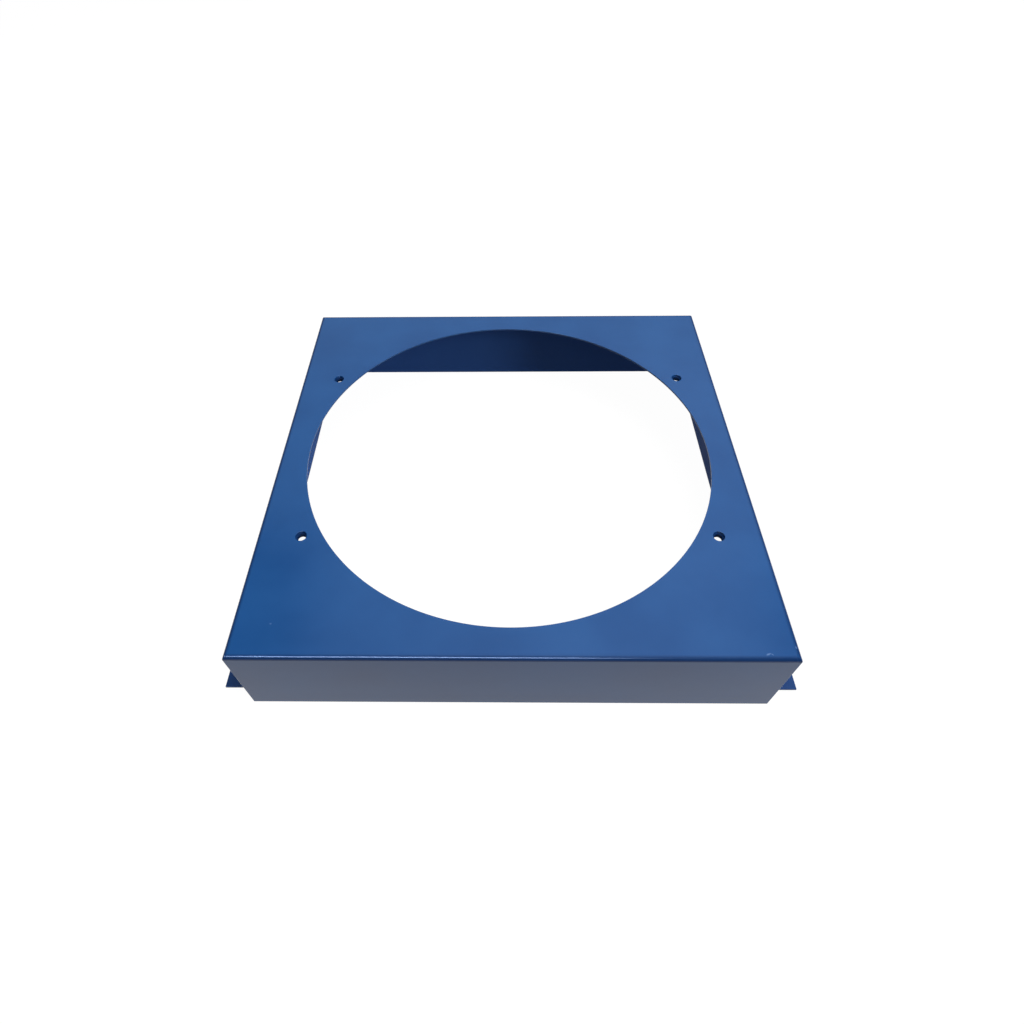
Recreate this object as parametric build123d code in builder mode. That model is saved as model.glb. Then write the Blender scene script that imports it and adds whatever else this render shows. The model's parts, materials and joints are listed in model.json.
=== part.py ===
from build123d import *

import os
from math import cos, radians, sin, tan

# A square cover for a motor-driven fan, folded from one sheet of steel. Its plate has a large round
# opening. A skirt hangs from the plate's front and rear edges, and a wall from each side edge. Each
# wall's lower end is folded outwards into a foot. The four corners are welded and ground smooth. Four
# nuts are welded under the plate, behind clearance holes, to take the fan's guard or ring.
# The frame has X to the right, Y to the rear and Z up, along the fan's axis. Its origin is under the
# middle of the opening, level with the lower edges of the skirts. All sizes are in millimetres.

# Sheet
sheet_thickness = 2.0
inner_bend_radius = 2.0

# Fan opening, and the plate and skirts round it
fan_opening_diameter = 460.0
side_border = 32.5
end_border = 32.5
skirt_height = 100.0

# Feet
foot_rise = 6.0
foot_width = 30.0
foot_setback = 12.0
bend_relief = 1.0
foot_hole_diameter = 9.0
foot_hole_margin = 14.0
foot_hole_end_margin = 50.5

# Welded corners
corner_radius = 1.0
seam_gap = 0.5
weld_throat = 1.2

# Bolts, and their circle round the opening
bolt_circle_margin = 20.0
bolt_angle = 30.0
thread_diameter = 10.0
thread_pitch = 1.5
bolt_clearance = 2.0

# Nuts and the weld beads that hold them
nut_sides = 6
nut_across_flats = 17.0
nut_height = 6.5
nut_face_margin = 0.7
nut_corner_angle = 30.0
turning_clearance = 1.0
countersink_length = 1.15
bead_radius = 2.5
bead_run = 4.0
beads_per_nut = 3

# Places that follow from the sizes above
outer_bend_radius = inner_bend_radius + sheet_thickness
plate_width = fan_opening_diameter + 2 * side_border
plate_depth = fan_opening_diameter + 2 * end_border
half_width = plate_width / 2
inside_half_width = half_width - sheet_thickness
inside_half_depth = plate_depth / 2 - sheet_thickness
plate_underside = skirt_height - sheet_thickness
foot_top = foot_rise + sheet_thickness
wall_edge = foot_rise + outer_bend_radius + bend_relief
foot_length = plate_depth - 2 * foot_setback
foot_hole_spacing = 2 * (half_width + foot_width - foot_hole_margin)
foot_hole_pitch = foot_length - 2 * foot_hole_end_margin
bolt_circle_diameter = fan_opening_diameter + 2 * bolt_circle_margin
bolt_hole_diameter = thread_diameter + bolt_clearance
bolt_spacing_x = bolt_circle_diameter * cos(radians(bolt_angle))
bolt_spacing_y = bolt_circle_diameter * sin(radians(bolt_angle))
nut_underside = plate_underside - nut_height
nut_bore_diameter = thread_diameter - thread_pitch
nut_face_radius = nut_across_flats / 2 - nut_face_margin
nut_half_angle = 180 / nut_sides
nut_corner_radius = nut_across_flats / 2 / cos(radians(nut_half_angle))

os.makedirs("parts", exist_ok=True)

# Folded cover
with BuildPart() as folded_cover:
    # The plate with its edges folded down all round. The welded corners are ground to a small radius,
    # which runs up into a rounded point where the two bends meet.
    Box(plate_width, plate_depth, skirt_height, align=(Align.CENTER, Align.CENTER, Align.MIN))
    top_edges = folded_cover.faces().sort_by(Axis.Z)[-1].edges()
    fillet(top_edges, radius=outer_bend_radius)
    underside = folded_cover.faces().sort_by(Axis.Z)[0]
    offset(amount=-sheet_thickness, openings=underside)
    corner_edges = folded_cover.edges().filter_by(Axis.Z).group_by(SortBy.DISTANCE)[-1]
    fillet(corner_edges, radius=corner_radius)

    # The side walls stop short, just above the fold of the feet. The skirts go down past them.
    with BuildSketch(Plane.XY) as below_walls:
        with GridLocations(plate_width - sheet_thickness, 0, 2, 1):
            Rectangle(sheet_thickness, 2 * inside_half_depth)
    extrude(amount=wall_edge, mode=Mode.SUBTRACT)

    # The feet: the wall's lower end turns outwards through a bend, short of the skirts at both ends
    with BuildSketch(Plane.XZ) as foot_sections:
        with BuildLine():
            FilletPolyline(
                (half_width, wall_edge),
                (half_width, foot_top),
                (half_width + foot_width, foot_top),
                radius=inner_bend_radius,
            )
            offset(amount=sheet_thickness, side=Side.RIGHT)
        make_face()
        mirror(about=Plane.YZ)
    extrude(amount=foot_length / 2, both=True)

    # Inside each corner the weld doesn't reach the root of the seam between wall and skirt
    seam_depth = sheet_thickness - weld_throat
    seam_height = skirt_height - outer_bend_radius - wall_edge
    with Locations((0, 0, wall_edge)):
        with GridLocations(2 * inside_half_width + seam_depth, 2 * inside_half_depth - seam_gap, 2, 2):
            Box(
                seam_depth,
                seam_gap,
                seam_height,
                align=(Align.CENTER, Align.CENTER, Align.MIN),
                mode=Mode.SUBTRACT,
            )

    # The fan opening and the clearance holes above the nuts
    with Locations((0, 0, skirt_height)):
        Hole(radius=fan_opening_diameter / 2, depth=sheet_thickness)
        with GridLocations(bolt_spacing_x, bolt_spacing_y, 2, 2):
            Hole(radius=bolt_hole_diameter / 2, depth=sheet_thickness)

    # The fixing holes of the feet
    with Locations((0, 0, foot_top)):
        with GridLocations(foot_hole_spacing, foot_hole_pitch, 2, 2):
            Hole(radius=foot_hole_diameter / 2, depth=sheet_thickness)

# One nut with its weld beads, seated against the plate's underside on the middle axis. A flat faces +X.
with BuildPart() as nut:
    with BuildSketch(Plane.XY.offset(nut_underside)) as hexagon:
        RegularPolygon(
            radius=nut_across_flats / 2,
            side_count=nut_sides,
            major_radius=False,
            rotation=nut_half_angle,
        )
    extrude(amount=nut_height)

    # The corners are turned down at both ends, by a profile that clears them
    turned_radius = nut_corner_radius + turning_clearance
    turned_drop = (turned_radius - nut_face_radius) * tan(radians(nut_corner_angle))
    with BuildSketch(Plane.XZ) as turned_profile:
        with BuildLine():
            Polyline(
                (0, nut_underside),
                (nut_face_radius, nut_underside),
                (turned_radius, nut_underside + turned_drop),
                (turned_radius, plate_underside - turned_drop),
                (nut_face_radius, plate_underside),
                (0, plate_underside),
                close=True,
            )
        make_face()
    revolve(axis=Axis.Z, mode=Mode.INTERSECT)

    # Short beads at the foot of every other flat, cut off level by the plate
    with Locations((0, 0, plate_underside)):
        with PolarLocations(nut_across_flats / 2, beads_per_nut):
            Cylinder(radius=bead_radius, height=bead_run, rotation=(90, 0, 0))
            with GridLocations(0, bead_run, 1, 2):
                Sphere(radius=bead_radius)
    split(bisect_by=Plane.XY.offset(plate_underside), keep=Keep.BOTTOM)

    # The bore, countersunk at both ends
    with Locations((0, 0, plate_underside)):
        Hole(radius=nut_bore_diameter / 2, depth=nut_height)
    bore_wall = nut.faces().filter_by(GeomType.CYLINDER).sort_by_distance((0, 0, nut_underside))[0]
    bore_rims = bore_wall.edges().filter_by(GeomType.CIRCLE)
    chamfer(bore_rims, length=countersink_length)

# The four nuts, on the axes of the clearance holes
with BuildPart() as weld_nuts:
    with GridLocations(bolt_spacing_x, bolt_spacing_y, 2, 2):
        add(nut.part)

folded_cover.part.label = "folded_cover"
export_step(folded_cover.part, "parts/folded_cover.step")

weld_nuts.part.label = "weld_nuts"
export_step(weld_nuts.part, "parts/weld_nuts.step")
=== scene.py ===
import json
import math

import bmesh
import bpy
from mathutils import Matrix, Vector


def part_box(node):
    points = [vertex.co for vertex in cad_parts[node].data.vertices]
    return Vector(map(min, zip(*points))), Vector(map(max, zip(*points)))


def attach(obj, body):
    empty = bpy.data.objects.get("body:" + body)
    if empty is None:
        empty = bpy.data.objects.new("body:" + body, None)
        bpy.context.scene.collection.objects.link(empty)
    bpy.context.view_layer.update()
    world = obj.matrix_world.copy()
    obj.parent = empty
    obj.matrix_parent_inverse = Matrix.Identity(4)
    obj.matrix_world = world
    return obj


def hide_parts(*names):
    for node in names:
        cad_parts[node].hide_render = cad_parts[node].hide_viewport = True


# A motor fan cover: one folded sheet of steel with welded corners, and four nuts welded under it, in
# blue stoving enamel. Everything is in metres. X is to the right, Y to the rear and Z up, from under
# the middle of the opening, level with the skirts' lower edges.

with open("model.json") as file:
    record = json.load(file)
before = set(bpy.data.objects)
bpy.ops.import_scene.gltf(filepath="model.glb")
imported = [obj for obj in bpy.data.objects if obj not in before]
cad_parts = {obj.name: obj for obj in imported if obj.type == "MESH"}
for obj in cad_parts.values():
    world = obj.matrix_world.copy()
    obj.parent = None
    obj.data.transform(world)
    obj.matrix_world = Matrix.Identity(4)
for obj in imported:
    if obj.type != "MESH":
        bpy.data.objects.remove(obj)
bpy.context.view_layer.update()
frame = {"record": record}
mm = 0.001
hair = 0.01 * mm  # how far off a face may lie and still count as level
spare = 1.0 * mm  # how far a cut runs past the sheet
joinDistance = 0.001 * mm  # corners that are nearer are joined
levelAngle = math.radians(0.5)  # faces that differ by less are joined
cutAngle = math.radians(40)  # a sharper outward edge is a cut edge
smoothAngle = math.radians(38)  # a blunter edge looks round

# Sizes that the frame gives
mounts = {mount["name"]: mount for mount in frame["record"]["mounts"]}
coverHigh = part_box("folded_cover")[1]
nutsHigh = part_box("weld_nuts")[1]
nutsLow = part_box("weld_nuts")[0]
plateTop = coverHigh.z
sheet = mounts["fan_opening"]["dims"]["length_mm"] * mm
plateUnderside = plateTop - sheet
halfPlate = coverHigh.y  # the plate is square
footUnderside = mounts["left_foot_underside"]["pos_m"][2]
print("frame loaded")


def fourPlaces(mountName):
    # The centres of a rectangular pattern of four holes
    dims = mounts[mountName]["dims"]
    across, along = dims["spacing_x_mm"] / 2 * mm, dims["spacing_y_mm"] / 2 * mm
    return [(sideX * across, sideY * along) for sideX in (-1, 1) for sideY in (-1, 1)]


def arcPoints(centre, radius, startAngle, endAngle, steps):
    # Points along an arc, in degrees. No steps give the first point alone.
    points = []
    for step in range(steps + 1):
        angle = math.radians(startAngle + (endAngle - startAngle) * step / max(steps, 1))
        points.append((centre[0] + radius * math.cos(angle), centre[1] + radius * math.sin(angle)))
    return points


def circleRing(centre, radius, height, steps):
    return [Vector((x, y, height)) for x, y in arcPoints(centre, radius, 0, 360, steps)[:-1]]


def boxRings(low, high):
    corners = [(low[0], low[1]), (high[0], low[1]), (high[0], high[1]), (low[0], high[1])]
    return [[Vector((x, y, z)) for x, y in corners] for z in (low[2], high[2])]


def holeRings(centre, radius, low, high, steps):
    return [circleRing(centre, radius, low, steps), circleRing(centre, radius, high, steps)]


def panRings(halfSide, cornerRadius, cornerSteps, bendRadius, bendSteps, low, top):
    # Level outlines of a square pan turned over, from its open edge up and round the bend to its top
    levels = [(low, 0)]
    for across, up in arcPoints((-bendRadius, top - bendRadius), bendRadius, 0, 90, bendSteps):
        levels.append((up, -across))
    rings = []
    for height, inset in levels:
        middle = halfSide - inset - cornerRadius
        corner = arcPoints((middle, middle), cornerRadius, 0, 90, cornerSteps)
        ring = []
        for quarter in range(4):
            turn = Matrix.Rotation(math.radians(90 * quarter), 4, "Z")
            ring += [turn @ Vector((x, y, height)) for x, y in corner]
        rings.append(ring)
    return rings


def loftRings(bm, rings, joinEnds=False):
    # Faces between each ring and the next. The two ends are closed, or joined to each other.
    rows = [[bm.verts.new(point) for point in ring] for ring in rings]
    pairs = list(zip(rows, rows[1:]))
    if joinEnds:
        pairs.append((rows[-1], rows[0]))
    else:
        bm.faces.new(rows[0])
        bm.faces.new(rows[-1])
    for lower, upper in pairs:
        for k, corner in enumerate(lower):
            after = (k + 1) % len(lower)
            bm.faces.new((corner, lower[after], upper[after], upper[k]))


def pieceFrom(name, bm):
    bmesh.ops.recalc_face_normals(bm, faces=bm.faces)
    mesh = bpy.data.meshes.new(name)
    bm.to_mesh(mesh)
    bm.free()
    piece = bpy.data.objects.new(name, mesh)
    bpy.context.scene.collection.objects.link(piece)
    return piece


def solidOf(name, lofts):
    bm = bmesh.new()
    for rings in lofts:
        loftRings(bm, rings)
    return pieceFrom(name, bm)


def combine(piece, operation, lofts):
    # The closed lofts are added to the piece or cut from it
    tool = solidOf("tool", lofts)
    step = piece.modifiers.new("step", "BOOLEAN")
    step.object = tool
    step.operation = operation
    step.solver = "EXACT"
    settled = piece.evaluated_get(bpy.context.evaluated_depsgraph_get())
    mesh = bpy.data.meshes.new_from_object(settled)
    piece.modifiers.clear()
    piece.data = mesh
    bpy.data.objects.remove(tool)


def mergeFaces(bm):
    # The level faces that a boolean leaves split become one face again
    bmesh.ops.remove_doubles(bm, verts=bm.verts, dist=joinDistance)
    bmesh.ops.dissolve_limit(bm, angle_limit=levelAngle, verts=bm.verts, edges=bm.edges)


def softenCutEdges(piece, width, steps, isCut):
    # Sharp outward edges get a small rounding. isCut says which of them, from the edge's middle.
    bm = bmesh.new()
    bm.from_mesh(piece.data)
    mergeFaces(bm)
    weight = bm.edges.layers.float.new("bevel_weight_edge")
    for edge in bm.edges:
        if len(edge.link_faces) != 2:
            continue
        middle = (edge.verts[0].co + edge.verts[1].co) / 2
        if edge.calc_face_angle_signed() > cutAngle and isCut(middle):
            edge[weight] = 1
    bm.to_mesh(piece.data)
    bm.free()
    rounding = piece.modifiers.new("cut edges", "BEVEL")
    rounding.limit_method = "WEIGHT"
    rounding.width = width
    rounding.segments = steps
    rounding.use_clamp_overlap = False
    settled = piece.evaluated_get(bpy.context.evaluated_depsgraph_get())
    mesh = bpy.data.meshes.new_from_object(settled)
    piece.modifiers.clear()
    piece.data = mesh
    mesh.shade_smooth()
    mesh.set_sharp_from_angle(angle=smoothAngle)
    flatter = piece.modifiers.new("flat faces stay flat", "WEIGHTED_NORMAL")
    flatter.keep_sharp = True


# The folded sheet
foldedSheet = {
    "innerBend": 2.0 * mm,
    "bendSteps": 14,
    "cornerRadius": 1.0 * mm,  # the welds at the corners, ground round
    "cornerSteps": 8,
    "footSetback": 12.0 * mm,
    "bendRelief": 1.0 * mm,
    "boltHoleRadius": 6.0 * mm,
    "seamGap": 0.5 * mm,  # what the weld leaves open inside each corner
    "seamDepth": 0.8 * mm,
    "openingSteps": 360,
    "holeSteps": 72,
    "cutEdgeRounding": 0.3 * mm,  # laser-cut edges under the enamel
    "cutEdgeSteps": 3,
}


def footRings(side, halfLength, wallEdge, innerBend, bendSteps):
    # The section of a foot: down the wall, round the bend and out, then back at the sheet's thickness
    footTop = footUnderside + sheet
    bend = (halfPlate + innerBend, footTop + innerBend)
    upper = arcPoints(bend, innerBend, 180, 270, bendSteps)
    lower = arcPoints(bend, innerBend + sheet, 270, 180, bendSteps)
    section = [(halfPlate, wallEdge), *upper, (coverHigh.x, footTop)]
    section += [(coverHigh.x, footUnderside), *lower, (halfPlate - sheet, wallEdge)]
    return [[Vector((side * x, y, z)) for x, z in section] for y in (-halfLength, halfLength)]


def cornerSeams(s, insideHalf, low, high):
    # What the welds leave open inside the four corners
    seams = []
    for sideX in (-1, 1):
        for sideY in (-1, 1):
            across = sorted((sideX * (insideHalf - spare), sideX * (insideHalf + s["seamDepth"])))
            along = sorted((sideY * (insideHalf - s["seamGap"]), sideY * insideHalf))
            seams.append(boxRings((across[0], along[0], low), (across[1], along[1], high)))
    return seams


def sheetHoles(s):
    # The fan opening, the bolt holes in the plate and the fixing holes in the feet
    throughPlate = (plateUnderside - spare, plateTop + spare)
    throughFoot = (footUnderside - spare, footUnderside + sheet + spare)
    openingRadius = mounts["fan_opening"]["dims"]["r_mm"] * mm
    footHoleRadius = mounts["foot_holes"]["dims"]["hole_r_mm"] * mm
    holes = [holeRings((0, 0), openingRadius, *throughPlate, s["openingSteps"])]
    for bolt, foot in zip(fourPlaces("fan_fixings"), fourPlaces("foot_holes")):
        holes.append(holeRings(bolt, s["boltHoleRadius"], *throughPlate, s["holeSteps"]))
        holes.append(holeRings(foot, footHoleRadius, *throughFoot, s["holeSteps"]))
    return holes


def makeFoldedSheet(s):
    outerBend = s["innerBend"] + sheet
    wallEdge = footUnderside + outerBend + s["bendRelief"]
    insideHalf = halfPlate - sheet
    corner = (s["cornerRadius"], s["cornerSteps"])
    outside = panRings(halfPlate, *corner, outerBend, s["bendSteps"], 0, plateTop)
    inside = panRings(insideHalf, 0, 0, s["innerBend"], s["bendSteps"], -spare, plateUnderside)
    cover = solidOf("foldedSheet", [outside])
    combine(cover, "DIFFERENCE", [inside])

    # The side walls stop above the feet, and the skirts go down past them
    cuts = []
    for side in (-1, 1):
        edges = sorted((side * (insideHalf - spare), side * (halfPlate + spare)))
        cuts.append(boxRings((edges[0], -insideHalf, -spare), (edges[1], insideHalf, wallEdge)))
    combine(cover, "DIFFERENCE", cuts)
    halfLength = halfPlate - s["footSetback"]
    feet = [footRings(side, halfLength, wallEdge, s["innerBend"], s["bendSteps"]) for side in (-1, 1)]
    combine(cover, "UNION", feet)
    combine(cover, "DIFFERENCE", cornerSeams(s, insideHalf, wallEdge - spare, plateTop - outerBend))
    combine(cover, "DIFFERENCE", sheetHoles(s))

    def isCut(middle):
        atSeam = abs(abs(middle.x) - insideHalf) < spare and abs(abs(middle.y) - insideHalf) < spare
        return not (atSeam and middle.z > wallEdge - spare)

    softenCutEdges(cover, s["cutEdgeRounding"], s["cutEdgeSteps"], isCut)
    return cover


cover = makeFoldedSheet(foldedSheet)
print("sheet folded:", len(cover.data.polygons), "faces")

# The welded nuts
weldedNut = {
    "flatRadius": 8.5 * mm,
    "cornerBlunt": 0.15 * mm,
    "faceRadius": 7.8 * mm,
    "flatAngle": 60,  # from one flat to the next
    "cornerAngle": 30,
    "threadDepth": 0.8 * mm,
    "pitch": 1.5 * mm,
    "countersink": 1.15 * mm,
    "stations": 96,
    "stepsPerPitch": 14,
    "beadRadius": 2.5 * mm,
    "beadRun": 4.0 * mm,
    "beads": 3,
    "ripple": 0.8 * mm,  # from one freeze line of the bead to the next
    "rippleDepth": 0.12 * mm,
    "beadTip": 0.02 * mm,  # the bead's radius at its very ends
    "beadSteps": 44,
    "beadArcSteps": 20,
}


def nutRings(s, low, high):
    # The section goes round the nut's rim and down its threaded bore, and has one ring for each point
    core = mounts["fan_fixings"]["dims"]["hole_r_mm"] * mm
    mouth = core + s["countersink"]
    halfAngle = math.radians(s["flatAngle"] / 2)
    cornerRadius = s["flatRadius"] / math.cos(halfAngle) - s["cornerBlunt"]
    angles = [2 * math.pi * k / s["stations"] for k in range(s["stations"])]
    sides = []
    for angle in angles:
        fromFlat = (angle + halfAngle) % math.radians(s["flatAngle"]) - halfAngle
        sides.append(min(s["flatRadius"] / math.cos(fromFlat), cornerRadius))
    drops = [(side - s["faceRadius"]) * math.tan(math.radians(s["cornerAngle"])) for side in sides]

    def ring(radii, heights):
        return [Vector((r * math.cos(a), r * math.sin(a), z)) for a, r, z in zip(angles, radii, heights)]

    count = len(angles)
    rings = [ring([mouth] * count, [low] * count), ring([s["faceRadius"]] * count, [low] * count)]
    rings.append(ring(sides, [low + drop for drop in drops]))
    rings.append(ring(sides, [high - drop for drop in drops]))
    rings += [ring([s["faceRadius"]] * count, [high] * count), ring([mouth] * count, [high] * count)]
    levels = round((high - low) / s["pitch"] * s["stepsPerPitch"])
    for level in range(1, levels):
        height = high + (low - high) * level / levels
        cone = mouth - min(height - low, high - height)
        radii = []
        for angle in angles:
            turn = height / s["pitch"] - angle / (2 * math.pi)
            groove = 0.5 + 0.5 * math.cos(2 * math.pi * turn)
            radii.append(max(cone, core + s["threadDepth"] * groove))
        rings.append(ring(radii, [height] * count))
    return rings


def beadRings(s, angle, top):
    # A half-round weld bead with round ends and fine ripples, its flat side up against the plate
    turn = Matrix.Rotation(angle, 4, "Z")
    halfRun = s["beadRun"] / 2
    reach = halfRun + s["beadRadius"]
    rings = []
    for step in range(s["beadSteps"] + 1):
        along = -reach * math.cos(math.pi * step / s["beadSteps"])
        pastEnd = max(abs(along) - halfRun, 0)
        radius = math.sqrt(max(s["beadRadius"] ** 2 - pastEnd**2, s["beadTip"] ** 2))
        ripple = 0.5 - 0.5 * math.cos(2 * math.pi * along / s["ripple"])
        radius -= s["rippleDepth"] * ripple * radius / s["beadRadius"]
        section = arcPoints((s["flatRadius"], top), radius, 180, 360, s["beadArcSteps"])
        rings.append([turn @ Vector((x, along, z)) for x, z in section])
    return rings


def makeWeldNuts(s):
    low, high = nutsLow.z, nutsHigh.z
    bm = bmesh.new()
    loftRings(bm, nutRings(s, low, high), joinEnds=True)
    nut = pieceFrom("nut", bm)
    beads = [beadRings(s, 2 * math.pi * k / s["beads"], high) for k in range(s["beads"])]
    combine(nut, "UNION", beads)
    bm = bmesh.new()
    bm.from_mesh(nut.data)
    mergeFaces(bm)
    bm.to_mesh(nut.data)
    bm.free()
    bm = bmesh.new()
    for across, along in fourPlaces("fan_fixings"):
        known = set(bm.verts)
        bm.from_mesh(nut.data)
        fresh = [vert for vert in bm.verts if vert not in known]
        bmesh.ops.translate(bm, verts=fresh, vec=(across, along, 0))
    bpy.data.objects.remove(nut)
    nuts = pieceFrom("weldNuts", bm)
    nuts.data.shade_smooth()
    nuts.data.set_sharp_from_angle(angle=smoothAngle)
    return nuts


nuts = makeWeldNuts(weldedNut)
print("nuts threaded and welded:", len(nuts.data.polygons), "faces")


def linearColour(hexCode):
    # An sRGB hex colour as the linear values that the shaders take
    values = []
    for start in (1, 3, 5):
        part = int(hexCode[start:start + 2], 16) / 255
        values.append(part / 12.92 if part <= 0.04045 else ((part + 0.055) / 1.055) ** 2.4)
    return (*values, 1)


def addNode(material, kind, settings, inputs):
    # Adds a node. An input that is another node's socket is linked, and any other is set.
    node = material.node_tree.nodes.new(kind)
    for name, value in settings.items():
        setattr(node, name, value)
    for name, value in inputs.items():
        if isinstance(value, bpy.types.NodeSocket):
            material.node_tree.links.new(value, node.inputs[name])
        else:
            node.inputs[name].default_value = value
    return node


def emptyMaterial(name):
    material = bpy.data.materials.new(name)
    material.use_nodes = True
    material.node_tree.nodes.clear()
    return material


# Stoving enamel, sprayed on the steel and baked. The eye sees a deep blue with a semi-gloss skin, a
# faint orange peel and soft clouds where the coat is thicker. Painted shade darkens each bend.
outerEnamel = {
    "deep": "#144884",
    "pale": "#205592",
    "roughness": (0.20, 0.27),  # where it passes about 0.274, the denoiser draws faint outlines
    "specular": 0.25,
    "cloud": 90 * mm,
    "peel": 4.0 * mm,  # real orange peel is about 1 mm across, too fine to show at this size
    "peelHeight": 0.01 * mm,
    # Painted shade along the bends: its colour, how much of it, and where it lies
    "paintedBendShade": "#0D2857",
    "bendShadeShare": 0.75,
    "bendReach": (5.5 * mm, 2.2 * mm),  # where the painted shade starts and is full, in from the outer faces
    "bendFade": (-0.4 * mm, 0.8 * mm),  # where it ends and is full, up from the foot of the bends
    "scuffAndHighlightColour": "#6C90C4",
    "frayScale": 1200.0,  # the marks are ragged about every 0.8 mm
    "frayReach": 1.2 * mm,
    "scuffDepth": 1.5 * mm,
    "scuffFade": (0.5, 1.1),  # shares of a mark's half size, where it is full and where it ends
    # Scuffs and specks in the coat, and one painted highlight, in mm: place, half length, half width,
    # turn and strength
    "scuffsAndHighlight": [
        ((-225.0, -227.0, 100.0), 1.3, 1.1, 0, 0.35),
        ((232.4, -256.2, 100.0), 2.6, 0.8, 20, 0.60),
        ((235.7, -256.4, 100.0), 1.5, 0.6, -42, 0.45),
        ((-231.9, -260.0, 99.7), 1.0, 0.8, 0, 0.4),
        ((-227.3, -260.0, 99.7), 1.0, 0.8, 0, 0.4),
        # This one is a painted highlight on the right bend near the front corner, not a scuff
        ((258.9, -249.5, 99.9), 0.7, 1.6, 0, 0.4),
    ],
}
# Inside, the coat looks thin and dry, and hardly shines.
innerEnamel = {
    "deep": "#335A9E",
    "pale": "#375FA4",
    "roughness": (0.55, 0.68),
    "specular": 0.06,
    "cloud": 60 * mm,
    "peel": 3.0 * mm,
    "peelHeight": 0.02 * mm,
}
# Painted shade: the feet's coat is darker than the plate's, for the shade of the walls beside them.
shadedFootEnamel = {
    "deep": "#143A70",
    "pale": "#184078",
    "roughness": (0.30, 0.38),
    "specular": 0.30,
    "cloud": 60 * mm,
    "peel": 4.0 * mm,
    "peelHeight": 0.01 * mm,
}
# The nuts' outsides have the same dry coat, a little deeper in colour.
nutEnamel = {
    "deep": "#24498A",
    "pale": "#2D5698",
    "roughness": (0.50, 0.62),
    "specular": 0.10,
    "cloud": 8 * mm,
    "peel": 1.5 * mm,
    "peelHeight": 0.02 * mm,
}
# Painted shade: a dark, dull enamel in the threads makes the bores look nearly black, for the shade down
# in them.
threadPaintedShade = {
    "deep": "#0E2A58",
    "pale": "#133463",
    "roughness": (0.50, 0.62),
    "specular": 0.04,
    "cloud": 8 * mm,
    "peel": 1.5 * mm,
    "peelHeight": 0.02 * mm,
}


cloudSpan = (0.15, 0.85)  # the noise's values that take the coat from its first look to its second


def paintBendShade(material, s, place, colour):
    # Painted shade: the coat darker from just inside the plate's edges to the lower end of the bends
    axes = addNode(material, "ShaderNodeSeparateXYZ", {}, {"Vector": place}).outputs
    across = addNode(material, "ShaderNodeMath", {"operation": "ABSOLUTE"}, {0: axes["X"]})
    along = addNode(material, "ShaderNodeMath", {"operation": "ABSOLUTE"}, {0: axes["Y"]})
    out = addNode(
        material, "ShaderNodeMath", {"operation": "MAXIMUM"},
        {0: across.outputs["Value"], 1: along.outputs["Value"]},
    )
    nearEdge = addNode(
        material, "ShaderNodeMapRange", {},
        {"Value": out.outputs["Value"], "From Min": halfPlate - s["bendReach"][0],
         "From Max": halfPlate - s["bendReach"][1], "To Max": s["bendShadeShare"]},
    )
    bendFoot = plateTop - foldedSheet["innerBend"] - sheet
    above = addNode(
        material, "ShaderNodeMapRange", {},
        {"Value": axes["Z"], "From Min": bendFoot + s["bendFade"][0],
         "From Max": bendFoot + s["bendFade"][1]},
    )
    share = addNode(
        material, "ShaderNodeMath", {"operation": "MULTIPLY"},
        {0: nearEdge.outputs["Result"], 1: above.outputs["Result"]},
    )
    mix = addNode(
        material, "ShaderNodeMix", {"data_type": "RGBA"},
        {"Factor": share.outputs["Value"], 6: colour, 7: linearColour(s["paintedBendShade"])},
    )
    return mix.outputs[2]


def scuffAndHighlightCoat(material, s, place, colour):
    # Small ragged marks, where the coat is rubbed pale, and one painted highlight on the right bend
    fray = addNode(
        material, "ShaderNodeTexNoise", {}, {"Vector": place, "Scale": s["frayScale"], "Detail": 2.0}
    )
    spread = addNode(
        material, "ShaderNodeVectorMath", {"operation": "MULTIPLY_ADD"},
        {0: fray.outputs["Color"], 1: (s["frayReach"], s["frayReach"], 0), 2: place},
    )
    shift = Vector((s["frayReach"] / 2, s["frayReach"] / 2, 0))
    for centre, halfLength, halfWidth, turned, strength in s["scuffsAndHighlight"]:
        middle = Vector(centre) * mm + shift
        reach = (halfLength * mm, halfWidth * mm, s["scuffDepth"])
        within = addNode(
            material, "ShaderNodeMapping", {"vector_type": "TEXTURE"},
            {"Vector": spread.outputs["Vector"], "Location": middle,
             "Rotation": (0, 0, math.radians(turned)), "Scale": reach},
        )
        far = addNode(
            material, "ShaderNodeVectorMath", {"operation": "LENGTH"}, {0: within.outputs["Vector"]}
        )
        share = addNode(
            material, "ShaderNodeMapRange", {},
            {"Value": far.outputs["Value"], "From Min": s["scuffFade"][0],
             "From Max": s["scuffFade"][1], "To Min": strength, "To Max": 0.0},
        )
        mix = addNode(
            material, "ShaderNodeMix", {"data_type": "RGBA"},
            {"Factor": share.outputs["Result"], 6: colour, 7: linearColour(s["scuffAndHighlightColour"])},
        )
        colour = mix.outputs[2]
    return colour


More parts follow.
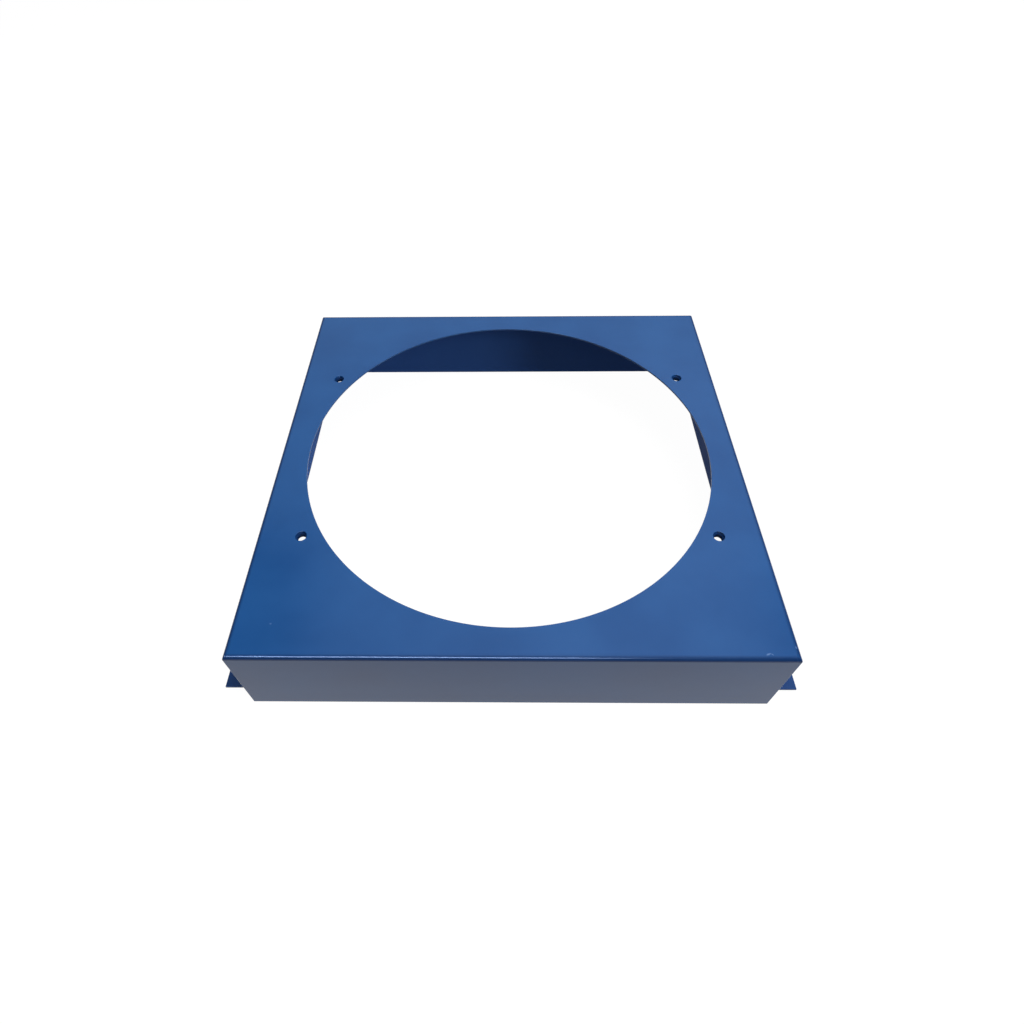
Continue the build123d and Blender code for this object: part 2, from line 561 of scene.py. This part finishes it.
def makeEnamel(name, s):
    material = emptyMaterial(name)
    place = addNode(material, "ShaderNodeTexCoord", {}, {}).outputs["Object"]
    cloud = addNode(
        material, "ShaderNodeTexNoise", {}, {"Vector": place, "Scale": 1 / s["cloud"], "Detail": 3.0}
    )
    shade = addNode(
        material, "ShaderNodeMapRange", {"interpolation_type": "SMOOTHSTEP"},
        {"Value": cloud.outputs["Fac"], "From Min": cloudSpan[0], "From Max": cloudSpan[1]},
    )
    tone = addNode(
        material, "ShaderNodeMix", {"data_type": "RGBA"},
        {"Factor": shade.outputs["Result"], 6: linearColour(s["deep"]), 7: linearColour(s["pale"])},
    )
    colour = tone.outputs[2]
    # painted shade along the bends
    if "paintedBendShade" in s:
        colour = paintBendShade(material, s, place, colour)
    if "scuffsAndHighlight" in s:
        colour = scuffAndHighlightCoat(material, s, place, colour)
    peel = addNode(
        material, "ShaderNodeTexNoise", {}, {"Vector": place, "Scale": 1 / s["peel"], "Detail": 2.0}
    )
    gloss = addNode(
        material, "ShaderNodeMapRange", {},
        {"Value": cloud.outputs["Fac"], "From Min": cloudSpan[0], "From Max": cloudSpan[1],
         "To Min": s["roughness"][0], "To Max": s["roughness"][1]},
    )
    bump = addNode(
        material, "ShaderNodeBump", {},
        {"Strength": 1.0, "Distance": s["peelHeight"], "Height": peel.outputs["Fac"]},
    )
    skin = addNode(
        material, "ShaderNodeBsdfPrincipled", {},
        {"Base Color": colour, "Roughness": gloss.outputs["Result"], "IOR": 1.5,
         "Specular IOR Level": s["specular"], "Normal": bump.outputs["Normal"]},
    )
    addNode(material, "ShaderNodeOutputMaterial", {}, {"Surface": skin.outputs["BSDF"]})
    return material


def coat(piece, *coats):
    # Gives the piece its enamels, one material slot for each
    piece.data.materials.clear()
    for name, s in coats:
        piece.data.materials.append(makeEnamel(name, s))


# The third enamel, for the feet, holds painted shade
coat(cover, ("stovedEnamel", outerEnamel), ("dryEnamel", innerEnamel), ("shadedFootEnamel", shadedFootEnamel))
for face in cover.data.polygons:
    x, y, z = face.center
    if max(abs(x), abs(y)) < halfPlate - sheet + hair and z < plateUnderside + hair:
        face.material_index = 1
    elif abs(x) > halfPlate + hair:
        face.material_index = 2
coat(nuts, ("nutEnamel", nutEnamel), ("threadPaintedShade", threadPaintedShade))
boltX, boltY = fourPlaces("fan_fixings")[-1]
boreMouth = mounts["fan_fixings"]["dims"]["hole_r_mm"] * mm + weldedNut["countersink"]
for face in nuts.data.polygons:
    x, y, z = face.center
    fromAxis = math.hypot(abs(x) - boltX, abs(y) - boltY)
    # faces inside the bore take the enamel with painted shade
    face.material_index = 1 if fromAxis < boreMouth else 0
print("enamel mixed")

for piece, node, slot in ((cover, "folded_cover", "cover_enamel"), (nuts, "weld_nuts", "nut_enamel")):
    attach(piece, "root")
    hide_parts(node)

# The studio
studio = {
    "floorSide": 12.0,
    "floorSteps": 12,
    "backdropRadius": 6.0,
    "backdropReach": 88,  # degrees up and down from level
    "backdropSteps": 22,
    "backdropSides": 48,
    "tooth": 2.5 * mm,
    "toothHeight": 0.05 * mm,
    "toothStrength": 0.2,
    "paperRoughness": 0.9,
    "floorColour": "#454545",
    "floorGlow": 0.98,
    "worldColour": "#FFFFFF",
    "worldStrength": 0.12,
}
# Each light: centre, the point that it faces, width, height, brightness, colour, and what it is for.
# A light for "gloss" only shows in reflections, and one for "shade" only lights.
lights = {
    "topSoft": ((0.45, 0, 2.2), (0, 0, 0), 1.6, 1.6, 5.0, "#FFFFFF", "shade"),
    "fillRight": ((3.7, -1.5, 1.9), (0, 0, 0.05), 2.1, 1.6, 8.0, "#FFFFFF", "shade"),
    "rearHigh": ((0.2, 2.2, 2.0), (0, 0, 0.05), 1.4, 1.4, 2.0, "#FFFFFF", "shade"),
    "panelRear": ((0.1, 2.45, 1.9), (0.1, 2.45, 0), 3.2, 2.5, 0.88, "#F2FFFA", "gloss"),
    "panelNear": ((0.175, 0.80, 1.9), (0.175, 0.80, 0), 1.95, 0.8, 1.2, "#FFFFFF", "gloss"),
    "panelRight": ((1.0, 1.6, 1.85), (1.0, 1.6, 0), 1.0, 1.4, 0.60, "#FFFFFF", "gloss"),
    "stripTop": ((-0.4, -1.15, 1.9), (-0.1, -0.25, 0.1), 1.7, 0.40, 62.0, "#AFCFFF", "gloss"),
}


def makeFloor(s):
    half = s["floorSide"] / 2
    count = s["floorSteps"]
    steps = [half * (2 * k / count - 1) for k in range(count + 1)]
    bm = bmesh.new()
    grid = [[bm.verts.new((x, y, 0)) for x in steps] for y in steps]
    for near, far in zip(grid, grid[1:]):
        for k in range(count):
            bm.faces.new((near[k], near[k + 1], far[k + 1], far[k]))
    mesh = bpy.data.meshes.new("floor")
    bm.to_mesh(mesh)
    bm.free()
    floor = bpy.data.objects.new("floor", mesh)
    bpy.context.scene.collection.objects.link(floor)
    floor.visible_diffuse = False  # its white doesn't light the dark inner faces
    return floor


def makeBackdrop(s):
    # The same paper all round, for looks from low down. It neither lights nor shows in reflections.
    reach = s["backdropReach"]
    profile = arcPoints((0, 0), s["backdropRadius"], -reach, reach, s["backdropSteps"])
    rings = [circleRing((0, 0), across, up, s["backdropSides"]) for across, up in profile]
    backdrop = solidOf("backdrop", [rings])
    backdrop.data.flip_normals()
    backdrop.data.shade_smooth()
    backdrop.visible_diffuse = False
    backdrop.visible_glossy = False
    backdrop.visible_shadow = False
    return backdrop


def makePaper(s):
    # White backdrop paper, matt. It glows by itself, so that it looks white and shadows stay faint.
    material = emptyMaterial("backdropPaper")
    place = addNode(material, "ShaderNodeTexCoord", {}, {}).outputs["Object"]
    tooth = addNode(
        material, "ShaderNodeTexNoise", {}, {"Vector": place, "Scale": 1 / s["tooth"], "Detail": 3.0}
    )
    bump = addNode(
        material, "ShaderNodeBump", {},
        {"Strength": s["toothStrength"], "Distance": s["toothHeight"], "Height": tooth.outputs["Fac"]},
    )
    paper = addNode(
        material, "ShaderNodeBsdfPrincipled", {},
        {"Base Color": linearColour(s["floorColour"]), "Roughness": s["paperRoughness"],
         "Specular IOR Level": 0.0, "Emission Color": (1, 1, 1, 1), "Emission Strength": s["floorGlow"],
         "Normal": bump.outputs["Normal"]},
    )
    clear = addNode(material, "ShaderNodeBsdfTransparent", {}, {})
    back = addNode(material, "ShaderNodeNewGeometry", {}, {}).outputs["Backfacing"]
    oneSided = addNode(
        material, "ShaderNodeMixShader", {},
        {"Fac": back, 1: paper.outputs["BSDF"], 2: clear.outputs["BSDF"]},
    )
    addNode(material, "ShaderNodeOutputMaterial", {}, {"Surface": oneSided.outputs["Shader"]})
    return material


paper = makePaper(studio)
for setting in (makeFloor(studio), makeBackdrop(studio)):
    setting.data.materials.append(paper)

for name, (centre, aim, width, height, brightness, colour, purpose) in lights.items():
    lamp = bpy.data.lights.new(name, "AREA")
    lamp.shape = "RECTANGLE"
    lamp.size = width
    lamp.size_y = height
    lamp.energy = brightness * math.pi * width * height
    lamp.color = linearColour(colour)[:3]
    light = bpy.data.objects.new(name, lamp)
    light.location = centre
    light.rotation_euler = (Vector(aim) - Vector(centre)).to_track_quat("-Z", "Y").to_euler()
    light.visible_camera = False
    light.visible_glossy = purpose == "gloss"
    light.visible_diffuse = purpose == "shade"
    bpy.context.scene.collection.objects.link(light)

world = bpy.data.worlds.new("studioAir")
world.use_nodes = True
background = world.node_tree.nodes["Background"]
background.inputs["Color"].default_value = linearColour(studio["worldColour"])
background.inputs["Strength"].default_value = studio["worldStrength"]
bpy.context.scene.world = world
bpy.context.scene.view_settings.view_transform = "Standard"

# The camera, placed as the photo was taken
photoCamera = {
    "place": (-0.009574, -0.511021, 0.630069),
    "pitchDown": 51.123,
    "turnLeft": 1.453,
    "roll": -1.141,
    "lens": 22.225,
    "sensorWidth": 36,
    "shift": (0.02189, -0.00674),
    "nearest": 10 * mm,
}


def makeCamera(s):
    lensData = bpy.data.cameras.new("photoCamera")
    lensData.sensor_fit = "HORIZONTAL"
    lensData.sensor_width = s["sensorWidth"]
    lensData.lens = s["lens"]
    lensData.shift_x, lensData.shift_y = s["shift"]
    lensData.clip_start = s["nearest"]
    camera = bpy.data.objects.new("photoCamera", lensData)
    turn = Matrix.Rotation(math.radians(s["turnLeft"]), 4, "Z")
    tilt = Matrix.Rotation(math.radians(90 - s["pitchDown"]), 4, "X")
    roll = Matrix.Rotation(math.radians(s["roll"]), 4, "Z")
    camera.matrix_world = Matrix.Translation(s["place"]) @ turn @ tilt @ roll
    bpy.context.scene.collection.objects.link(camera)
    return camera


bpy.context.scene.camera = makeCamera(photoCamera)
print("studio lit")
